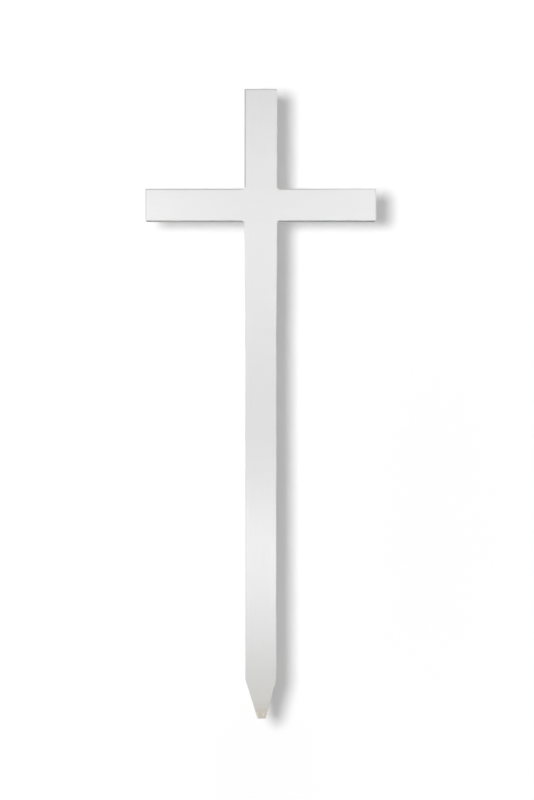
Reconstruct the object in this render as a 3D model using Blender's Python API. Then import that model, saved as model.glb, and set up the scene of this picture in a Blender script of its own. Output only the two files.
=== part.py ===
"""A painted wooden grave cross, made of two planed battens halved together so that their faces are flush.

Units are metres and +Z is up. The cross faces -Y and its arms lie along X. The origin is on the upright's
centre line at the ground line, so the part of the stake that goes into the ground lies below zero.
"""

from math import radians

import bmesh
import bpy
from mathutils import Vector

# The cross as a whole
CROSS_HEIGHT = 0.900  # from the blunt end of the point to the top end
CROSSBAR_SPAN = 0.330  # from one end of the arms to the other
GROUND_DEPTH = 0.250  # how far the stake goes into the ground, point included

# The battens, both from the same planed stock, so that front and back come flush
BATTEN_WIDTH = 0.0465
BATTEN_THICKNESS = 0.021

# The crossing
CROSSBAR_DROP = 0.142  # from the top end down to the crossbar's upper edge
JOINT_GAP = 0.0003  # clearance on every side inside the halving joint

# The point, sawn from the two edges of the batten
POINT_LENGTH = 0.056
POINT_END_WIDTH = 0.012

# The eased arrises, rounded once the battens are joined
ARRIS_RADIUS = 0.0015
ARRIS_SEGMENTS = 4

# The paint
PAINT_COLOUR = (0.79, 0.80, 0.795, 1.0)
PAINT_ROUGHNESS = 0.38

# Heights and places that follow from the sizes above
TOP_HEIGHT = CROSS_HEIGHT - GROUND_DEPTH
POINT_END_HEIGHT = -GROUND_DEPTH
SHOULDER_HEIGHT = POINT_END_HEIGHT + POINT_LENGTH
CROSSBAR_TOP = TOP_HEIGHT - CROSSBAR_DROP
CROSSBAR_BOTTOM = CROSSBAR_TOP - BATTEN_WIDTH
CROSSING_HEIGHT = (CROSSBAR_TOP + CROSSBAR_BOTTOM) / 2
HALF_WIDTH = BATTEN_WIDTH / 2
HALF_THICKNESS = BATTEN_THICKNESS / 2

# Directions along the two battens
UP = Vector((0.0, 0.0, 1.0))
ACROSS = Vector((1.0, 0.0, 0.0))

# Working values for the modelling
CUTTER_OVERRUN = 0.010  # how far a cutter runs past the faces that it cuts through
WELD_DISTANCE = 0.00001  # points nearer than this are the same point
FLAT_ANGLE = radians(1.0)  # faces that meet at less than this are one flat face
SHARP_ANGLE = radians(45.0)  # edges that turn by more than this are eased
SMOOTH_ANGLE = radians(30.0)  # faces that meet at less than this are shaded as one


def new_collection(name):
    """An empty collection of that name, linked to the scene."""
    collection = bpy.data.collections.new(name)
    bpy.context.scene.collection.children.link(collection)
    return collection


def paint(name):
    """White satin paint on planed softwood."""
    material = bpy.data.materials.new(name)
    material.use_nodes = True
    shader = material.node_tree.nodes["Principled BSDF"]
    shader.inputs["Base Color"].default_value = PAINT_COLOUR
    shader.inputs["Roughness"].default_value = PAINT_ROUGHNESS
    shader.inputs["Metallic"].default_value = 0.0
    return material


def extruded_outline(name, outline, thickness):
    """A mesh of a closed outline, given as X and Z, that is as thick on both sides of the plane Y = 0."""
    curve = bpy.data.curves.new(name, "CURVE")
    curve.dimensions = "2D"
    curve.fill_mode = "BOTH"
    curve.extrude = thickness / 2
    spline = curve.splines.new("POLY")
    spline.points.add(len(outline) - 1)
    for point, (x, z) in zip(spline.points, outline):
        point.co = (x, z, 0.0, 1.0)
    spline.use_cyclic_u = True
    drawn = bpy.data.objects.new(name, curve)
    drawn.rotation_euler.x = radians(90.0)
    bpy.context.scene.collection.objects.link(drawn)
    bpy.context.view_layer.update()
    evaluated = drawn.evaluated_get(bpy.context.evaluated_depsgraph_get())
    mesh = bpy.data.meshes.new_from_object(evaluated)
    mesh.transform(drawn.matrix_world)
    bpy.data.objects.remove(drawn)
    return mesh


def box(name, low, high):
    """A box mesh between two opposite corners."""
    low, high = Vector(low), Vector(high)
    shape = bmesh.new()
    bmesh.ops.create_cube(shape, size=1.0)
    bmesh.ops.scale(shape, vec=high - low, verts=shape.verts)
    bmesh.ops.translate(shape, vec=(low + high) / 2, verts=shape.verts)
    mesh = bpy.data.meshes.new(name)
    shape.to_mesh(mesh)
    shape.free()
    return mesh


def ease_arrises(mesh, along, joint_start, joint_end):
    """Rounds the sharp edges of a batten, except where the other batten meets it flush in the joint."""
    batten = bmesh.new()
    batten.from_mesh(mesh)
    bmesh.ops.remove_doubles(batten, verts=batten.verts, dist=WELD_DISTANCE)
    bmesh.ops.recalc_face_normals(batten, faces=batten.faces)
    flat = [edge for edge in batten.edges if edge.calc_face_angle() < FLAT_ANGLE]
    bmesh.ops.dissolve_edges(batten, edges=flat, use_verts=False)
    for place in (joint_start, joint_end):
        everything = batten.verts[:] + batten.edges[:] + batten.faces[:]
        bmesh.ops.bisect_plane(batten, geom=everything, plane_co=along * place, plane_no=along)

    def eased(edge):
        middle = (edge.verts[0].co + edge.verts[1].co).dot(along) / 2
        return edge.calc_face_angle() > SHARP_ANGLE and not joint_start < middle < joint_end

    arrises = [edge for edge in batten.edges if eased(edge)]
    bmesh.ops.bevel(
        batten, geom=arrises, offset=ARRIS_RADIUS, segments=ARRIS_SEGMENTS, profile=0.5,
        affect="EDGES", clamp_overlap=True,
    )
    batten.to_mesh(mesh)
    batten.free()
    mesh.shade_smooth()
    mesh.set_sharp_from_angle(angle=SMOOTH_ANGLE)


def add_piece(name, mesh, height, collection, parent):
    """A sub-part with its own paint, on the upright's centre line at that height."""
    piece = bpy.data.objects.new(name, mesh)
    piece.location.z = height
    piece.parent = parent
    mesh.materials.append(paint(name + "_paint"))
    collection.objects.link(piece)
    return piece


def cut_housing(piece, low, high, collection):
    """Cuts the joint's housing out of a piece, between two opposite corners in the cross's own frame."""
    name = piece.name + "_housing"
    cutter = bpy.data.objects.new(name, box(name, low, high))
    cutter.hide_render = True
    cutter.display_type = "WIRE"
    collection.objects.link(cutter)
    cut = piece.modifiers.new("housing", "BOOLEAN")
    cut.operation = "DIFFERENCE"
    cut.solver = "EXACT"
    cut.object = cutter


def add_upright(pieces, cutters, cross):
    """The long batten: square on top, pointed below, its front half cut away where the crossbar passes."""
    half_end = POINT_END_WIDTH / 2
    outline = (
        (-HALF_WIDTH, TOP_HEIGHT),
        (-HALF_WIDTH, SHOULDER_HEIGHT),
        (-half_end, POINT_END_HEIGHT),
        (half_end, POINT_END_HEIGHT),
        (HALF_WIDTH, SHOULDER_HEIGHT),
        (HALF_WIDTH, TOP_HEIGHT),
    )
    mesh = extruded_outline("upright", outline, BATTEN_THICKNESS)
    ease_arrises(mesh, UP, CROSSBAR_BOTTOM, CROSSBAR_TOP)
    upright = add_piece("upright", mesh, 0.0, pieces, cross)
    past_side, past_front = HALF_WIDTH + CUTTER_OVERRUN, -HALF_THICKNESS - CUTTER_OVERRUN
    low = (-past_side, past_front, CROSSBAR_BOTTOM - JOINT_GAP)
    high = (past_side, JOINT_GAP / 2, CROSSBAR_TOP + JOINT_GAP)
    cut_housing(upright, low, high, cutters)


def add_crossbar(pieces, cutters, cross):
    """The short batten with square ends, its back half cut away where the upright passes."""
    corner = Vector((CROSSBAR_SPAN / 2, HALF_THICKNESS, HALF_WIDTH))
    mesh = box("crossbar", -corner, corner)
    ease_arrises(mesh, ACROSS, -HALF_WIDTH, HALF_WIDTH)
    crossbar = add_piece("crossbar", mesh, CROSSING_HEIGHT, pieces, cross)
    housing_side, past_back = HALF_WIDTH + JOINT_GAP, HALF_THICKNESS + CUTTER_OVERRUN
    low = (-housing_side, -JOINT_GAP / 2, CROSSBAR_BOTTOM - CUTTER_OVERRUN)
    high = (housing_side, past_back, CROSSBAR_TOP + CUTTER_OVERRUN)
    cut_housing(crossbar, low, high, cutters)


def main():
    """Clears the scene and builds the cross in it."""
    for old in list(bpy.data.objects):
        bpy.data.objects.remove(old)
    pieces, cutters = new_collection("Grave cross"), new_collection("Cutters")
    cross = bpy.data.objects.new("grave_cross", None)
    pieces.objects.link(cross)
    add_upright(pieces, cutters, cross)
    add_crossbar(pieces, cutters, cross)


main()
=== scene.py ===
"""The looks of a white painted wooden grave cross: two planed battens, halved together.

Units are metres. +Z runs up the stake, +X along the arms, and the front faces -Y, as in the part itself.
"""

from math import pi, radians

import bmesh
import bpy
import numpy as np
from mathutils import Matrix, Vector


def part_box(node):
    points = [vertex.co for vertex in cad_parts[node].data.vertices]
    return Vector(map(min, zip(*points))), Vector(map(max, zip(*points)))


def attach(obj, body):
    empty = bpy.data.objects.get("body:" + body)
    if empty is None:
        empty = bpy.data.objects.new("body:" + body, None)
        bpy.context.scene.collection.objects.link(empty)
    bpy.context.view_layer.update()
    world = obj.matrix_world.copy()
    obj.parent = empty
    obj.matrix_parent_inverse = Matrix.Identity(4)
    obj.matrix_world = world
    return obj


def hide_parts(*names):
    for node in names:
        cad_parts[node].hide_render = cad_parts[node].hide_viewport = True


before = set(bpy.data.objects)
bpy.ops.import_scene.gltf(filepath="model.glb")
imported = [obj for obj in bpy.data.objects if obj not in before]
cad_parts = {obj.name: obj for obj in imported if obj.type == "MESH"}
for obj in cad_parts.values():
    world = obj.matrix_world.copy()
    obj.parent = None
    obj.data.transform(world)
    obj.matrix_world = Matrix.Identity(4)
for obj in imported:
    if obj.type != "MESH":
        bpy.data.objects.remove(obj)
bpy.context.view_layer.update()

# Sizes taken from the part
stake_low, stake_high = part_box("upright")
bar_low, bar_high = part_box("crossbar")
HALF_WIDTH, HALF_THICKNESS = stake_high.x, stake_high.y
TOP, POINT_END = stake_high.z, stake_low.z
HALF_SPAN = bar_high.x
BAR_PLANED = 0.0007  # what is planed off the crossbar's upper edge
BAR_BOTTOM, BAR_TOP = bar_low.z, bar_high.z - BAR_PLANED
BAR_MIDDLE, BAR_HALF_WIDTH = (BAR_BOTTOM + BAR_TOP) / 2, (BAR_TOP - BAR_BOTTOM) / 2

# The eased edges and the filled corners
ARRIS = 0.0010  # radius of the eased arrises
STAKE_SHARES, BAR_SHARES = (0.35, 1.0, 1.0, 1.0), (1.0, 1.0, 0.5, 0.5)  # of that radius at each corner
ARRIS_WANDER = 0.0002  # how far the hand easing strays from that radius
JOINT_ARRIS = 0.00005  # what is left of it where the battens meet flush
ARRIS_FADE = 0.005  # how far from the joint the arris has its full radius
CORNER_FILL = 0.0024  # radius of filler and paint in the four inner corners
JOINT_SLOPE = 0.0001  # the housing's walls lean by this much from face to middle

# The stake is slimmer below the crossbar: by this much on each edge, fully so below the second height
SLIMMING = 0.0010
SLIM_START, SLIM_END = 0.45, 0.28

# The point
POINT_LENGTH = 0.056
POINT_LEFT, POINT_RIGHT = 0.0048, 0.0071  # the blunt end is sawn a little to the right
SHOULDER_EASE = 0.0005
WORN_LENGTH = 0.028  # how far up from the end the paint is rubbed thin

# Relief below the true faces, and the size of its marks across, through and along
GRAIN_DEPTH, GRAIN_SIZE, FINE_GRAIN_SIZE = 0.000025, (0.0023, 0.0023, 0.12), (0.0012, 0.0012, 0.05)
GRAIN_SHARE, FINE_GRAIN_SHARE = 0.7, 0.3
PLANING_DEPTH, PLANING_SIZE = 0.00008, (0.03, 0.03, 0.07)
END_GRAIN_DEPTH, PIT_SIZE = 0.00012, (0.0011, 0.0011, 0.002)
SAW_DEPTH, SAW_SPACING, SAW_DRIFT_SIZE = 0.00010, 0.0026, (0.02, 0.008, 0.01)
SAW_DRIFT = 5.0  # how far the saw marks stray, as an angle of their wave
SAW_EASE = 0.002  # they begin over this distance below the shoulder
FRAY_DEPTH, CHIP_SIZE = 0.0007, (0.0022, 0.0030, 0.0040)
FLAT_FRAY = 0.35  # the share of that depth on the flats, against all of it on the arrises
JOINT_CALM = 0.004  # the relief dies away over this distance from the joint
WANDER_LENGTH = 0.03  # the easing of the arrises strays over about this length
ROUND_ARRIS_GAP = 7.5  # keeps the straying of the four arrises apart in the noise

# The noise repeats after this many cells, and each use of it has a seed
LATTICE = 64
STAKE_ARRIS_SEED, BAR_ARRIS_SEED = 11, 12
STAKE_RELIEF_SEED, BAR_RELIEF_SEED = 21, 51
SAW_SEED, CHIP_SEED = 31, 41

# Painted shade lies in a dark line along the arrises, more on some than on others, and over the crossbar's
# underside
LINE_START, LINE_FULL, LINE_FADE, LINE_END = 0.0, 0.0004, 0.0014, 0.0022  # distances from the outline
# How strong the painted shade is on the head's left arris, the top arrises, the left arm's end and the
# crossbar's underside
HEAD_SHADE, TOP_SHADE, ARM_END_SHADE, UNDERSIDE_SHADE = 0.77, 0.64, 0.26, 1.00
RIGHT_ARM_SHARE = 0.4  # how much of the painted shade on top is left at the end of the right arm
SHOWN_GAIN = 1.5  # a face shows its painted shade in full up to 48 degrees from front or back
EDGE_SLOPES = (0.3, 0.8)  # a face counts as an edge below the first share of facing front or back
UNDERSIDE_SLOPES = (0.5, 0.9)  # a face counts as underside above the second share of facing down

# The grid on a batten
FACE_COLUMNS, EDGE_COLUMNS, ARC_COLUMNS = 76, 34, 6
ROW_PITCH, POINT_ROW_PITCH, CORNER_ROW_PITCH, END_ROW_PITCH = 0.005, 0.0005, 0.001, 0.0006
EASING_ROWS, FILL_ROWS, CAP_ROWS = 5, 8, 9
WELD_DISTANCE = 0.000001  # points nearer than this are the same point
SMOOTH_ANGLE = radians(40)  # faces that meet at less than this are shaded as one

# The photograph's frame, and places measured in it in pixels
FRAME_HEIGHT_PX, FRAME_MIDDLE_X_PX, FRAME_MIDDLE_Y_PX = 800, 267, 400
CROSS_TOP_PX, CROSS_FOOT_PX, STAKE_MIDDLE_PX = 88.8, 718.8, 260.7
CAMERA_DISTANCE = 3.0
SENSOR = 36.0


# Surfaces

def smoothstep(value, start, end):
    """0 up to start, 1 from end, and 3t^2 - 2t^3 between them."""
    t = np.clip((value - start) / (end - start), 0.0, 1.0)
    return t * t * (3 - 2 * t)


def lattice_noise(points, pitch, seed):
    """Smooth noise from 0 to 1 at every point.

    Random values stand at the corners of a lattice with that pitch in metres along each axis, and each
    point blends the eight around it by 3t^2 - 2t^3.
    """
    table = np.random.default_rng(seed).random((LATTICE, LATTICE, LATTICE))
    scaled = points / np.array(pitch)
    cell = np.floor(scaled).astype(int)
    share = scaled - cell
    share = share * share * (3 - 2 * share)
    total = np.zeros(points.shape[:-1])
    for corner in np.ndindex(2, 2, 2):
        weight = np.where(corner, share, 1 - share).prod(axis=-1)
        i, j, k = np.moveaxis((cell + corner) % LATTICE, -1, 0)
        total += weight * table[i, j, k]
    return total


# The four corners of a section in order round it, across the face and through the thickness
CORNER_ACROSS = np.array([1.0, 1.0, -1.0, -1.0])
CORNER_THROUGH = np.array([-1.0, 1.0, 1.0, -1.0])
FRONT_CORNERS, BACK_CORNERS = [0, 3], [1, 2]


def section_columns():
    """The columns round a section: the corners each lies between, its share of the way, its normal's angle.

    At corner k the normal turns through a quarter circle, then the flat to corner k + 1 is divided evenly.
    The last value is 1 in the middle of an arris, and 0 on the flats.
    """
    corner, share, angle, arris = [], [], [], []
    for k, flat_columns in enumerate((EDGE_COLUMNS, FACE_COLUMNS, EDGE_COLUMNS, FACE_COLUMNS)):
        start = (k - 1) * pi / 2
        turn = np.linspace(0.0, 1.0, ARC_COLUMNS + 1)
        flat = np.arange(1, flat_columns) / flat_columns
        corner += [k] * (len(turn) + len(flat))
        share += [*np.zeros_like(turn), *flat]
        angle += [*(start + turn * pi / 2), *np.full_like(flat, start + pi / 2)]
        arris += [*np.sin(turn * pi), *np.zeros_like(flat)]
    corner = np.array(corner)
    return corner, (corner + 1) % 4, np.array(share), np.array(angle), np.array(arris)


FROM_CORNER, TO_CORNER, SHARE, ANGLE, ARRIS_VALUE = section_columns()


def swept_sections(half_across, half_through, radius):
    """Rounded rectangles, one a row: the corners' centres carried along the flats, plus the radius outwards.

    Each argument has a row for each section and a column for each corner.
    """
    centre_across = CORNER_ACROSS * (half_across - radius)
    centre_through = CORNER_THROUGH * (half_through - radius)

    def carried(values):
        return values[:, FROM_CORNER] * (1 - SHARE) + values[:, TO_CORNER] * SHARE

    across = carried(centre_across) + carried(radius) * np.cos(ANGLE)
    through = carried(centre_through) + carried(radius) * np.sin(ANGLE)
    return across, through


def end_rows(end, inward):
    """Rows that close a batten: a quarter circle of the arris radius, then across the end to its middle.

    Gives each row's place along the batten, and the inset and the scale of its section.
    """
    turn = np.linspace(0.0, pi / 2, EASING_ROWS + 1)
    place = np.concatenate([end + inward * ARRIS * (1 - np.sin(turn)), np.full(CAP_ROWS, end)])
    place[EASING_ROWS:] = end  # exactly, so that the rows of the end face can be told by it
    inset = np.concatenate([ARRIS * (1 - np.cos(turn)), np.full(CAP_ROWS, ARRIS)])
    scale = np.concatenate([np.ones(EASING_ROWS + 1), np.linspace(1.0, 0.0, CAP_ROWS + 1)[1:]])
    return place, inset, scale


def near_end():
    """Distances from an end at which the line of painted shade is drawn."""
    return ARRIS + END_ROW_PITCH * np.arange(1, 4)


def batten_rows(start, end, places):
    """Every row of a batten: the start's rows from the middle out, the places between, the end's rows."""
    first, last = end_rows(start, 1), end_rows(end, -1)
    plain = (places, np.zeros(len(places)), np.ones(len(places)))
    return [np.concatenate([a[::-1], b, c]) for a, b, c in zip(first, plain, last)]


def spaced(start, end, pitch):
    """Places from start to end, evenly, about a pitch apart."""
    return np.linspace(start, end, int(round((end - start) / pitch)) + 1)


def merged(*places):
    """All those places in order, each once."""
    return np.unique(np.round(np.concatenate(places), 7))


def joint_places(low, high):
    """Places on both sides of a joint: the filler's quarter circle, the housing's walls, a closer pitch."""
    turn = np.linspace(0.0, pi / 2, FILL_ROWS)
    fill = CORNER_FILL * (1 - np.sin(turn))
    close = spaced(CORNER_FILL, ARRIS_FADE + CORNER_ROW_PITCH, CORNER_ROW_PITCH)
    outside = np.concatenate([fill, close])
    return np.concatenate([low - outside, high + outside, [low + JOINT_SLOPE, high - JOINT_SLOPE]])


def from_joint(place, low, high):
    """How far each place lies outside the stretch from low to high, and 0 inside it."""
    return np.maximum(np.maximum(low - place, place - high), 0.0)


def arris_radius(place, distance, inset, shares, seed):
    """Each corner's radius along a batten: it strays, dies away at the joint and closes over the ends."""
    apart = np.tile(np.arange(4) * ROUND_ARRIS_GAP, (len(place), 1))
    along = np.tile(place[:, None], (1, 4))
    corners = np.stack([np.zeros_like(apart), apart, along], axis=-1)
    wander = ARRIS_WANDER * (2 * lattice_noise(corners, (1.0, 1.0, WANDER_LENGTH), seed) - 1)
    full = smoothstep(distance, 0.0, ARRIS_FADE)[:, None]
    return np.maximum((ARRIS + wander) * shares * full - inset[:, None], JOINT_ARRIS)


def inward_normals(points, place, start, end):
    """Unit normals into the wood: the cross product of the grid's two steps, and the axis on the ends."""
    round_step = np.roll(points, -1, axis=1) - np.roll(points, 1, axis=1)
    along_step = np.gradient(points, axis=0)
    normal = np.cross(along_step, round_step)
    normal /= np.maximum(np.linalg.norm(normal, axis=2, keepdims=True), 1e-12)
    normal[place == start] = (0.0, 0.0, 1.0)
    normal[place == end] = (0.0, 0.0, -1.0)
    return normal


def painted_relief(points, distance, on_end, seed):
    """Depth below the true faces: noise stretched along the grain, planing marks, and pits on the ends.

    It dies away at the joint, where the faces are flush.
    """
    grain = GRAIN_SHARE * lattice_noise(points, GRAIN_SIZE, seed)
    grain += FINE_GRAIN_SHARE * lattice_noise(points, FINE_GRAIN_SIZE, seed + 1)
    planing = lattice_noise(points, PLANING_SIZE, seed + 2)
    pits = lattice_noise(points, PIT_SIZE, seed + 3)
    sides = GRAIN_DEPTH * grain + PLANING_DEPTH * planing
    depth = np.where(on_end[:, None], END_GRAIN_DEPTH * pits, sides)
    return depth * smoothstep(distance, 0.0, JOINT_CALM)[:, None]


def shade_line(distance):
    """A line of painted shade along an arris, from its distance to the outline: smoothly up to 1 and down to
    0 again.
    """
    return smoothstep(distance, LINE_START, LINE_FULL) * (1 - smoothstep(distance, LINE_FADE, LINE_END))


def shown(inward):
    """How far each point faces the front or the back, up to 1, by its share of facing them times a gain."""
    return np.clip(SHOWN_GAIN * np.abs(inward[:, :, 1]), 0.0, 1.0)


def eased_share(radius, inset):
    """Where the arrises are: 1 along the middle of each at its full radius, and over the ends' rounding."""
    sides = np.clip(radius / ARRIS, 0.0, 1.0)[:, FROM_CORNER] * ARRIS_VALUE
    ends = np.sin(np.clip(inset / ARRIS, 0.0, 1.0) * pi)
    return np.maximum(sides, ends[:, None])


def grid_mesh(name, points, values):
    """A closed mesh from rows that join round, its poles merged, with the named values on its points."""
    rows, columns = points.shape[:2]
    index = np.arange(rows * columns).reshape(rows, columns)
    after = np.roll(index, -1, axis=1)
    quads = np.stack([index[:-1], after[:-1], after[1:], index[1:]], axis=2).reshape(-1, 4)
    mesh = bpy.data.meshes.new(name)
    mesh.from_pydata(points.reshape(-1, 3).tolist(), [], quads.tolist())
    for label, value in values.items():
        attribute = mesh.attributes.new(label, "FLOAT", "POINT")
        attribute.data.foreach_set("value", value.ravel().astype(np.float32))
    shape = bmesh.new()
    shape.from_mesh(mesh)
    bmesh.ops.remove_doubles(shape, verts=shape.verts, dist=WELD_DISTANCE)
    bmesh.ops.recalc_face_normals(shape, faces=shape.faces)
    shape.to_mesh(mesh)
    shape.free()
    mesh.shade_smooth()
    mesh.set_sharp_from_angle(angle=SMOOTH_ANGLE)
    return mesh


# The two battens

def fill_width(distance):
    """How far the filler stands out from the stake: a quarter circle that is widest on the crossbar."""
    rest = np.clip(CORNER_FILL - distance, 0.0, CORNER_FILL)
    width = CORNER_FILL - np.sqrt(CORNER_FILL ** 2 - rest ** 2)
    return np.where(distance > 0.0, width, CORNER_FILL)


def stake_half_widths(place, distance, housed):
    """Half widths at each corner: the batten's or, where less, the point's, plus the filler at the joint.

    The point's line and the batten's meet in a smooth minimum, half of a + b - sqrt((a - b)^2 + ease^2).
    """
    end = np.array([POINT_RIGHT, POINT_RIGHT, POINT_LEFT, POINT_LEFT])
    rise = (place - POINT_END)[:, None] / POINT_LENGTH
    line = end + (HALF_WIDTH - SLIMMING - end) * rise
    batten = HALF_WIDTH - SLIMMING * (1 - smoothstep(place, SLIM_END, SLIM_START))[:, None]
    gap = np.sqrt((line - batten) ** 2 + SHOULDER_EASE ** 2)
    plain = (line + batten - gap) / 2
    fill = np.where(housed, 0.0, fill_width(distance))
    return plain + fill[:, None]


def upright_mesh():
    """The stake: its section swept from point to top, the front half left out where the crossbar passes."""
    shoulder = POINT_END + POINT_LENGTH
    places = merged(
        spaced(POINT_END + ARRIS + POINT_ROW_PITCH, shoulder + ARRIS, POINT_ROW_PITCH),
        spaced(shoulder + ROW_PITCH, BAR_BOTTOM - ARRIS_FADE - ROW_PITCH / 2, ROW_PITCH),
        joint_places(BAR_BOTTOM, BAR_TOP),
        spaced(BAR_BOTTOM + ROW_PITCH, BAR_TOP - ROW_PITCH, ROW_PITCH),
        spaced(BAR_TOP + ARRIS_FADE + ROW_PITCH / 2, TOP - ARRIS - ROW_PITCH, ROW_PITCH),
        TOP - near_end(),
    )
    place, inset, scale = batten_rows(POINT_END, TOP, places)
    housed = (place > BAR_BOTTOM + JOINT_SLOPE / 2) & (place < BAR_TOP - JOINT_SLOPE / 2)
    distance = from_joint(place, BAR_BOTTOM, BAR_TOP)
    half_through = np.full((len(place), 4), HALF_THICKNESS)
    half_through[np.ix_(housed, FRONT_CORNERS)] = 0.0
    radius = arris_radius(place, distance, inset, STAKE_SHARES, STAKE_ARRIS_SEED)
    half_across = stake_half_widths(place, distance, housed)
    across, through = swept_sections(half_across - inset[:, None], half_through - inset[:, None], radius)
    along = np.repeat(place[:, None], across.shape[1], axis=1)
    points = np.stack([across * scale[:, None], through * scale[:, None], along], axis=-1)

    on_end = (place == POINT_END) | (place == TOP)
    inward = inward_normals(points, place, POINT_END, TOP)
    depth = painted_relief(points, distance, on_end, STAKE_RELIEF_SEED)
    sawn = (1 - smoothstep(along, shoulder - SAW_EASE, shoulder)) * np.abs(inward[:, :, 0])
    drift = SAW_DRIFT * lattice_noise(points, SAW_DRIFT_SIZE, SAW_SEED)
    depth += SAW_DEPTH * sawn * (0.5 + 0.5 * np.sin(2 * pi * along / SAW_SPACING + drift))
    worn = 1 - smoothstep(along, POINT_END + ARRIS, POINT_END + WORN_LENGTH)
    chips = lattice_noise(points, CHIP_SIZE, CHIP_SEED) ** 2
    depth += FRAY_DEPTH * worn ** 2 * chips * (FLAT_FRAY + (1 - FLAT_FRAY) * ARRIS_VALUE * scale[:, None])
    # Painted shade: a dark line on the head's left arris above the crossbar, and along the top end
    above = smoothstep(along, BAR_TOP, BAR_TOP + ARRIS_FADE)
    left = HEAD_SHADE * above * shade_line(half_across[:, 3:] + across)
    top = TOP_SHADE * shade_line(TOP - along)
    values = {
        "arris": eased_share(radius, inset),
        "painted_shade": np.maximum(left, top) * shown(inward),
        "edge": 1 - smoothstep(np.abs(inward[:, :, 1]), *EDGE_SLOPES),
        "worn": worn,
    }
    return grid_mesh("painted_upright", points + inward * depth[:, :, None], values)


def crossbar_mesh():
    """The arms: a plain section swept from left to right, the back half left out where the stake passes."""
    arm = spaced(HALF_WIDTH + ARRIS_FADE + ROW_PITCH / 2, HALF_SPAN - ARRIS - ROW_PITCH, ROW_PITCH)
    arm = np.concatenate([arm, HALF_SPAN - near_end()])
    housing = HALF_WIDTH - ROW_PITCH
    places = merged(-arm, joint_places(-HALF_WIDTH, HALF_WIDTH), spaced(-housing, housing, ROW_PITCH), arm)
    place, inset, scale = batten_rows(-HALF_SPAN, HALF_SPAN, places)
    housed = np.abs(place) < HALF_WIDTH - JOINT_SLOPE / 2
    distance = from_joint(place, -HALF_WIDTH, HALF_WIDTH)
    half_through = np.full((len(place), 4), HALF_THICKNESS)
    half_through[np.ix_(housed, BACK_CORNERS)] = 0.0
    radius = arris_radius(place, distance, inset, BAR_SHARES, BAR_ARRIS_SEED)
    half_across = np.full((len(place), 4), BAR_HALF_WIDTH)
    across, through = swept_sections(half_across - inset[:, None], half_through - inset[:, None], radius)
    along = np.repeat(place[:, None], across.shape[1], axis=1)
    points = np.stack([across * scale[:, None], through * scale[:, None], along], axis=-1)

    on_end = np.abs(place) == HALF_SPAN
    inward = inward_normals(points, place, -HALF_SPAN, HALF_SPAN)
    points = points + inward * painted_relief(points, distance, on_end, BAR_RELIEF_SEED)[:, :, None]
    in_place = points[:, :, ::-1] + (0.0, 0.0, BAR_MIDDLE)
    # Painted shade: a dark line along the top arrises that weakens towards the right end, one at the left
    # end, and a darker underside
    share = 1 - (1 - RIGHT_ARM_SHARE) * smoothstep(place, 0.0, HALF_SPAN)
    share *= smoothstep(distance, 0.0, ARRIS_FADE)
    top = TOP_SHADE * share[:, None] * shade_line(BAR_HALF_WIDTH - across)
    arm_end = ARM_END_SHADE * shade_line(HALF_SPAN + along)
    underside = UNDERSIDE_SHADE * smoothstep(inward[:, :, 0], *UNDERSIDE_SLOPES)
    values = {
        "arris": eased_share(radius, inset),
        "painted_shade": np.maximum(np.maximum(top, arm_end) * shown(inward), underside),
        "edge": 1 - smoothstep(np.abs(inward[:, :, 1]), *EDGE_SLOPES),
        "worn": np.zeros_like(along),
    }
    return grid_mesh("painted_crossbar", in_place, values)


# Node trees

# Spots of noise in the paint: their size across and along the grain, and their detail
BRISTLES, RIDGES, PEEL = (0.0009, 0.060, 3.0), (0.0035, 0.150, 2.0), (0.0020, 0.0026, 1.0)
PATCHES, FIBRES = (0.030, 0.050, 3.0), (0.0016, 0.0060, 4.0)
RIDGE_SHARE, PEEL_SHARE = 0.8, 0.15  # of the bristle marks' height

# Ranges for wear and painted shade: a value between the first two gives a share between the last two, or
# else between 0 and 1
STREAKED_BRISTLES = (0.35, 0.65)
RUBBED_AND_SHADED_PATCHES, SHADE_PATCHES = (0.50, 0.75, 0.0, 0.5), (0.25, 0.60, 0.70, 1.0)
THIN_FIBRES, BARE_FIBRES = (0.30, 0.55, 0.75, 1.0), (0.44, 0.56)
BARE_WORN = (0.62, 0.85)


def add_node(tree, kind, sockets=None, **settings):
    """A node with its settings, whose sockets take the given values or are linked from the given outputs."""
    node = tree.nodes.new(kind)
    for name, value in settings.items():
        setattr(node, name, value)
    for name, value in (sockets or {}).items():
        if isinstance(value, bpy.types.NodeSocket):
            tree.links.new(value, node.inputs[name])
        else:
            node.inputs[name].default_value = value
    return node


def maths(tree, operation, first, second=0.0, third=0.0):
    """The result of a Math node."""
    return add_node(tree, "ShaderNodeMath", {0: first, 1: second, 2: third}, operation=operation).outputs[0]


def mixed_colour(tree, share, first, second):
    """A blend of two colours by a share from 0 to 1."""
    node = add_node(tree, "ShaderNodeMix", {0: share, 6: first, 7: second}, data_type="RGBA")
    return node.outputs[2]


def ranged(tree, value, start, end, low=0.0, high=1.0):
    """A value taken from the range start to end into low to high, smoothly, and held outside it."""
    sockets = {"Value": value, "From Min": start, "From Max": end, "To Min": low, "To Max": high}
    return add_node(tree, "ShaderNodeMapRange", sockets, interpolation_type="SMOOTHSTEP").outputs[0]


def stretched_noise(tree, vector, across, along, detail):
    """Noise whose spots measure that much across the grain and along it, where the grain runs along Z."""
    scale = (1 / across, 1 / across, 1 / along)
    scaled = add_node(tree, "ShaderNodeVectorMath", {0: vector, 1: scale}, operation="MULTIPLY")
    sockets = {"Vector": scaled.outputs[0], "Scale": 1.0, "Detail": detail}
    return add_node(tree, "ShaderNodeTexNoise", sockets).outputs["Fac"]


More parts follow.
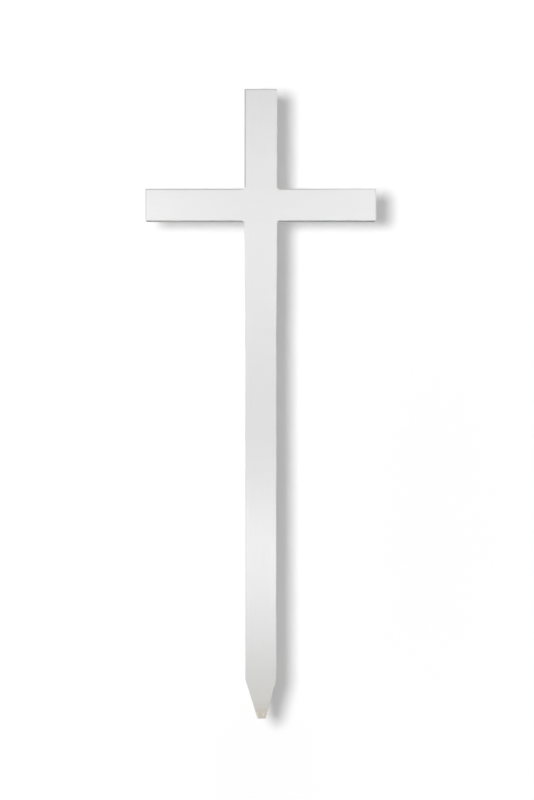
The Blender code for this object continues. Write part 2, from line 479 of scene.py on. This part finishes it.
def new_group(name, inputs, outputs):
    """An empty shader node group with those sockets, and its input and output nodes."""
    tree = bpy.data.node_groups.new(name, "ShaderNodeTree")
    for label, kind in inputs.items():
        tree.interface.new_socket(label, in_out="INPUT", socket_type=kind)
    for label in outputs:
        tree.interface.new_socket(label, in_out="OUTPUT", socket_type="NodeSocketFloat")
    return tree, tree.nodes.new("NodeGroupInput"), tree.nodes.new("NodeGroupOutput")


def brushed_coat_group():
    """Marks that a brush leaves along the grain: a height for the bump, and how matt each streak is."""
    tree, given, result = new_group("brushed_coat", {"Vector": "NodeSocketVector"}, ("Height", "Streak"))
    bristles = stretched_noise(tree, given.outputs["Vector"], *BRISTLES)
    ridges = stretched_noise(tree, given.outputs["Vector"], *RIDGES)
    peel = stretched_noise(tree, given.outputs["Vector"], *PEEL)
    height = maths(tree, "MULTIPLY_ADD", peel, PEEL_SHARE, bristles)
    height = maths(tree, "MULTIPLY_ADD", ridges, RIDGE_SHARE, height)
    tree.links.new(height, result.inputs["Height"])
    tree.links.new(ranged(tree, bristles, *STREAKED_BRISTLES), result.inputs["Streak"])
    return tree


def edge_wear_group():
    """Wear of the coat and painted shade: darker patches on the arrises that are partly worn paint and
    partly painted shade, the painted shade lines and underside in patches, thin paint and bare fibres at the
    point.
    """
    inputs = {"Vector": "NodeSocketVector"}
    for label in ("Arris", "Painted Shade", "Worn"):
        inputs[label] = "NodeSocketFloat"
    tree, given, result = new_group("edge_wear", inputs, ("Grime And Shade", "Thin", "Bare"))
    patches = stretched_noise(tree, given.outputs["Vector"], *PATCHES)
    fibres = stretched_noise(tree, given.outputs["Vector"], *FIBRES)
    # Darker arrises in patches, partly worn paint and partly painted shade, and the painted shade broken
    # into patches
    rubbed_and_shaded = maths(tree, "MULTIPLY", given.outputs["Arris"], ranged(tree, patches, *RUBBED_AND_SHADED_PATCHES))
    shade_in_patches = maths(tree, "MULTIPLY", given.outputs["Painted Shade"], ranged(tree, patches, *SHADE_PATCHES))
    tree.links.new(maths(tree, "MAXIMUM", rubbed_and_shaded, shade_in_patches), result.inputs["Grime And Shade"])
    frayed = maths(tree, "MULTIPLY", given.outputs["Worn"], ranged(tree, fibres, *THIN_FIBRES))
    tree.links.new(frayed, result.inputs["Thin"])
    deep = ranged(tree, given.outputs["Worn"], *BARE_WORN)
    bare = maths(tree, "MULTIPLY", deep, ranged(tree, fibres, *BARE_FIBRES))
    tree.links.new(bare, result.inputs["Bare"])
    return tree


# Materials

PAINT = (0.769, 0.771, 0.769, 1.0)
SHADED_PAINT = (0.746, 0.749, 0.746, 1.0)  # along the bristle marks
STREAK_SHARE = 0.35  # how far the paint turns to that colour there
LOW_PAINT = (0.712, 0.706, 0.682, 1.0)  # greyer and warmer towards the point
# The darker colour of worn arrises and of the painted shade along the arrises and under the crossbar
GRIME_AND_SHADE = (0.360, 0.360, 0.350, 1.0)
THIN_PAINT = (0.635, 0.577, 0.503, 1.0)
BARE_WOOD = (0.760, 0.730, 0.645, 1.0)
LOW_START, LOW_END = -0.125, -0.235
PAINT_ROUGHNESS, STREAK_ROUGHNESS, EDGE_ROUGHNESS, WOOD_ROUGHNESS = 0.19, 0.22, 0.45, 0.62
# Roughness where the arrises are worn and where shade is painted
GRIME_AND_SHADE_ROUGHNESS = 0.90
BUMP_DISTANCE = 0.00002


def painted_wood(name, turn, brushed_coat, edge_wear):
    """White satin paint brushed along a batten, darker towards the point, with wear and painted shade
    darkening the arrises and the crossbar's underside, and worn to the wood at the point.
    """
    material = bpy.data.materials.new(name)
    material.use_nodes = True
    tree = material.node_tree
    shader = tree.nodes["Principled BSDF"]
    place = add_node(tree, "ShaderNodeTexCoord").outputs["Object"]
    turned = add_node(tree, "ShaderNodeMapping", {"Vector": place, "Rotation": turn}).outputs[0]
    arris, painted_shade, edge, worn = [
        add_node(tree, "ShaderNodeAttribute", attribute_name=label).outputs["Fac"]
        for label in ("arris", "painted_shade", "edge", "worn")
    ]
    coat = add_node(tree, "ShaderNodeGroup", node_tree=brushed_coat)
    tree.links.new(turned, coat.inputs["Vector"])
    wear = add_node(tree, "ShaderNodeGroup", node_tree=edge_wear)
    for label, value in (("Vector", turned), ("Arris", arris), ("Painted Shade", painted_shade), ("Worn", worn)):
        tree.links.new(value, wear.inputs[label])

    height = add_node(tree, "ShaderNodeSeparateXYZ", {0: place}).outputs["Z"]
    low = ranged(tree, height, LOW_START, LOW_END)
    streak = maths(tree, "MULTIPLY", coat.outputs["Streak"], STREAK_SHARE)
    colour = mixed_colour(tree, streak, PAINT, SHADED_PAINT)
    colour = mixed_colour(tree, low, colour, LOW_PAINT)
    # Worn arrises, and painted shade along the arrises and under the crossbar
    colour = mixed_colour(tree, wear.outputs["Grime And Shade"], colour, GRIME_AND_SHADE)
    colour = mixed_colour(tree, wear.outputs["Thin"], colour, THIN_PAINT)
    colour = mixed_colour(tree, wear.outputs["Bare"], colour, BARE_WOOD)
    tree.links.new(colour, shader.inputs["Base Color"])

    satin = ranged(tree, coat.outputs["Streak"], 0.0, 1.0, PAINT_ROUGHNESS, STREAK_ROUGHNESS)
    on_edge = ranged(tree, edge, 0.0, 1.0, PAINT_ROUGHNESS, EDGE_ROUGHNESS)
    on_wood = ranged(tree, wear.outputs["Thin"], 0.0, 1.0, PAINT_ROUGHNESS, WOOD_ROUGHNESS)
    on_grime_and_shade = ranged(tree, wear.outputs["Grime And Shade"], 0.0, 1.0, PAINT_ROUGHNESS, GRIME_AND_SHADE_ROUGHNESS)
    coated = maths(tree, "MAXIMUM", satin, on_edge)
    matt = maths(tree, "MAXIMUM", coated, maths(tree, "MAXIMUM", on_wood, on_grime_and_shade))
    tree.links.new(matt, shader.inputs["Roughness"])
    bump = add_node(tree, "ShaderNodeBump", {"Height": coat.outputs["Height"], "Distance": BUMP_DISTANCE})
    tree.links.new(bump.outputs[0], shader.inputs["Normal"])
    return material


def add_piece(mesh, node, material):
    """A finished piece in place of a node of the part."""
    mesh.materials.append(material)
    piece = bpy.data.objects.new(mesh.name, mesh)
    bpy.context.scene.collection.objects.link(piece)
    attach(piece, "root")
    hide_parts(node)


# The studio

METRES_PER_PIXEL = (TOP - POINT_END) / (CROSS_FOOT_PX - CROSS_TOP_PX)
CAMERA_X = (FRAME_MIDDLE_X_PX - STAKE_MIDDLE_PX) * METRES_PER_PIXEL
CAMERA_Z = TOP - (FRAME_MIDDLE_Y_PX - CROSS_TOP_PX) * METRES_PER_PIXEL
CAMERA_Y = -HALF_THICKNESS - CAMERA_DISTANCE

BOARD_GAP = 0.140  # from the cross's back to the board
BOARD_HALF_WIDTH, BOARD_TOP = 1.2, 1.4
FLOOR_HEIGHT, FLOOR_HALF_SIDE = -0.40, 8.0
BOARD_GREY, BOARD_GLOW = 0.84, 0.145
DULL_X, DULL_Z = -0.145, 0.246  # the spot on the board that needs the least glow
GLOW_RISE = 0.237  # how much more it glows at a metre from that spot
CLEAR_GLOW, CLEAR_START = 0.067, 0.25  # and away from the crossing, fully so from this far
SIDE_GLOW, SIDE_START, SIDE_END = 0.014, 0.03, 0.13  # and beside the stake, between these distances
FLOOR_GLOW = 0.95
FLOOR_FADE_START, FLOOR_FADE_END = 1.0, 5.0  # it turns white between these distances
AIR_STRENGTH = 0.13

KEY_LEFT, KEY_UP = 0.435, 0.145  # from the lens
KEY_SIZE, KEY_POWER = 0.50, 71.0


def add_camera():
    """The photograph's camera: straight in front, level, a little above the middle of the cross."""
    lens = SENSOR * CAMERA_DISTANCE / (FRAME_HEIGHT_PX * METRES_PER_PIXEL)
    camera = bpy.data.objects.new("camera", bpy.data.cameras.new("camera"))
    camera.data.sensor_width = SENSOR
    camera.data.lens = lens
    camera.location = (CAMERA_X, CAMERA_Y, CAMERA_Z)
    camera.rotation_euler = (radians(90), 0.0, 0.0)
    bpy.context.scene.collection.objects.link(camera)
    bpy.context.scene.camera = camera


def add_stage(name, corners, material):
    """A flat sheet of the studio through four corners."""
    mesh = bpy.data.meshes.new(name)
    mesh.from_pydata(corners, [], [(0, 1, 2, 3)])
    mesh.materials.append(material)
    sheet = bpy.data.objects.new(name, mesh)
    bpy.context.scene.collection.objects.link(sheet)
    return sheet


def clear_behind(tree, front):
    """Finishes a sheet's material: the given shader in front, and nothing to see from behind."""
    clear = add_node(tree, "ShaderNodeBsdfTransparent")
    behind = add_node(tree, "ShaderNodeNewGeometry").outputs["Backfacing"]
    both = add_node(tree, "ShaderNodeMixShader", {0: behind, 1: front.outputs[0], 2: clear.outputs[0]})
    output = add_node(tree, "ShaderNodeOutputMaterial")
    tree.links.new(both.outputs[0], output.inputs["Surface"])


def board_material():
    """Matt white board, seen from its front only.

    It glows a little, more by the square of the distance from its dull spot, and less behind the cross,
    whose back throws light on it, so that it looks even.
    """
    material = bpy.data.materials.new("white_board")
    material.use_nodes = True
    tree = material.node_tree
    tree.nodes.clear()
    grey = (BOARD_GREY, BOARD_GREY, BOARD_GREY, 1.0)
    diffuse = add_node(tree, "ShaderNodeBsdfDiffuse", {"Color": grey})
    place = add_node(tree, "ShaderNodeTexCoord").outputs["Object"]
    board_y = HALF_THICKNESS + BOARD_GAP
    from_spot, from_crossing = [
        add_node(tree, "ShaderNodeVectorMath", {0: place, 1: spot}, operation="DISTANCE").outputs["Value"]
        for spot in ((DULL_X, board_y, DULL_Z), (0.0, board_y, BAR_MIDDLE))
    ]
    rise = maths(tree, "MULTIPLY_ADD", maths(tree, "MULTIPLY", from_spot, from_spot), GLOW_RISE, BOARD_GLOW)
    clear = ranged(tree, from_crossing, 0.0, CLEAR_START, 0.0, CLEAR_GLOW)
    beside = maths(tree, "ABSOLUTE", add_node(tree, "ShaderNodeSeparateXYZ", {0: place}).outputs["X"])
    side = ranged(tree, beside, SIDE_START, SIDE_END, 0.0, SIDE_GLOW)
    strength = maths(tree, "ADD", maths(tree, "ADD", rise, clear), side)
    glow = add_node(tree, "ShaderNodeEmission", {"Strength": strength})
    clear_behind(tree, add_node(tree, "ShaderNodeAddShader", {0: diffuse.outputs[0], 1: glow.outputs[0]}))
    return material


def floor_material():
    """A pale floor that lights nothing, fades into the white air with distance, and is clear from below."""
    material = bpy.data.materials.new("pale_floor")
    material.use_nodes = True
    tree = material.node_tree
    tree.nodes.clear()
    place = add_node(tree, "ShaderNodeTexCoord").outputs["Object"]
    away = add_node(tree, "ShaderNodeVectorMath", {0: place}, operation="LENGTH").outputs["Value"]
    fade = ranged(tree, away, FLOOR_FADE_START, FLOOR_FADE_END, FLOOR_GLOW, 1.0)
    glow = add_node(tree, "ShaderNodeEmission", {"Strength": fade})
    clear_behind(tree, glow)
    return material


def add_board_and_floor():
    """The board behind the cross, and the floor under it, below what the camera takes in."""
    y, x, side = HALF_THICKNESS + BOARD_GAP, BOARD_HALF_WIDTH, FLOOR_HALF_SIDE
    board = add_stage("board", [
        (-x, y, FLOOR_HEIGHT), (x, y, FLOOR_HEIGHT), (x, y, BOARD_TOP), (-x, y, BOARD_TOP),
    ], board_material())
    board.visible_shadow = False
    floor = add_stage("floor", [
        (-side, -side, FLOOR_HEIGHT), (side, -side, FLOOR_HEIGHT),
        (side, side, FLOOR_HEIGHT), (-side, side, FLOOR_HEIGHT),
    ], floor_material())
    floor.visible_diffuse = False
    floor.visible_glossy = False
    floor.visible_shadow = False


def add_air():
    """White all round to the eye, and a weaker even light on the cross."""
    world = bpy.data.worlds.new("studio_air")
    world.use_nodes = True
    tree = world.node_tree
    seen = add_node(tree, "ShaderNodeLightPath").outputs["Is Camera Ray"]
    strength = maths(tree, "MULTIPLY_ADD", seen, 1.0 - AIR_STRENGTH, AIR_STRENGTH)
    background = tree.nodes["Background"]
    background.inputs["Color"].default_value = (1.0, 1.0, 1.0, 1.0)
    tree.links.new(strength, background.inputs["Strength"])
    bpy.context.scene.world = world


def add_lamp(name, data, place, towards):
    """A lamp at a place, turned towards another, which no camera sees."""
    lamp = bpy.data.objects.new(name, data)
    lamp.location = place
    lamp.rotation_euler = (Vector(towards) - Vector(place)).to_track_quat("-Z", "Y").to_euler()
    lamp.visible_camera = False
    bpy.context.scene.collection.objects.link(lamp)
    return lamp


def add_key_light():
    """The round main light, which throws the shadow to the right and a little down.

    It is as far away as the lens, so the shadow looks as large as the cross.
    """
    disk = bpy.data.lights.new("key", "AREA")
    disk.shape = "DISK"
    disk.size = KEY_SIZE
    disk.energy = KEY_POWER
    place = (CAMERA_X - KEY_LEFT, CAMERA_Y, CAMERA_Z + KEY_UP)
    lamp = add_lamp("key", disk, place, (0.0, 0.0, CAMERA_Z))
    lamp.visible_glossy = False


# The softboxes that show as sheen on the paint: middle across and up from the lens, width, height and power
SOFTBOXES = (
    ("low_box", -0.02, -0.445, 0.27, 0.30, 4.15),
    ("high_left_box", -0.44, 0.495, 0.46, 0.42, 5.45),
    ("high_right_box", 0.40, 0.505, 0.60, 0.50, 6.40),
    ("high_middle_box", -0.03, 0.375, 0.16, 0.92, 1.9),
)
# The lamps for the cross's edges, not its face: place, the point it is turned to, width, height and power
EDGE_LAMPS = (
    ("left_strip", (-1.4, 0.08, 0.05), (0.0, 0.0, 0.05), 0.30, 0.80, 10.0),
    ("right_strip", (1.4, 0.08, 0.45), (0.0, 0.0, 0.45), 0.30, 0.90, 8.5),
    ("top_strip", (0.0, 0.35, 1.50), (0.0, 0.0, 0.50), 1.00, 0.30, 5.0),
)


def area_light(name, width, height, power):
    """A rectangular softbox."""
    box = bpy.data.lights.new(name, "AREA")
    box.shape = "RECTANGLE"
    box.size, box.size_y = width, height
    box.energy = power
    return box


def add_softboxes():
    """Softboxes seen in the paint's sheen alone, and lamps for the edges that aren't seen in it."""
    for name, across, up, width, height, power in SOFTBOXES:
        place = (CAMERA_X + across, CAMERA_Y, CAMERA_Z + up)
        lamp = add_lamp(name, area_light(name, width, height, power), place, (place[0], 0.0, place[2]))
        lamp.visible_diffuse = False
    for name, place, towards, width, height, power in EDGE_LAMPS:
        lamp = add_lamp(name, area_light(name, width, height, power), place, towards)
        lamp.visible_glossy = False


def main():
    """Builds the pieces, the studio and the camera."""
    brushed_coat, edge_wear = brushed_coat_group(), edge_wear_group()
    upright_paint = painted_wood("upright_paint", (0.0, 0.0, 0.0), brushed_coat, edge_wear)
    crossbar_paint = painted_wood("crossbar_paint", (0.0, radians(90), 0.0), brushed_coat, edge_wear)
    add_piece(upright_mesh(), "upright", upright_paint)
    add_piece(crossbar_mesh(), "crossbar", crossbar_paint)
    add_board_and_floor()
    add_air()
    add_key_light()
    add_softboxes()
    add_camera()
    bpy.context.scene.view_settings.view_transform = "Standard"


main()
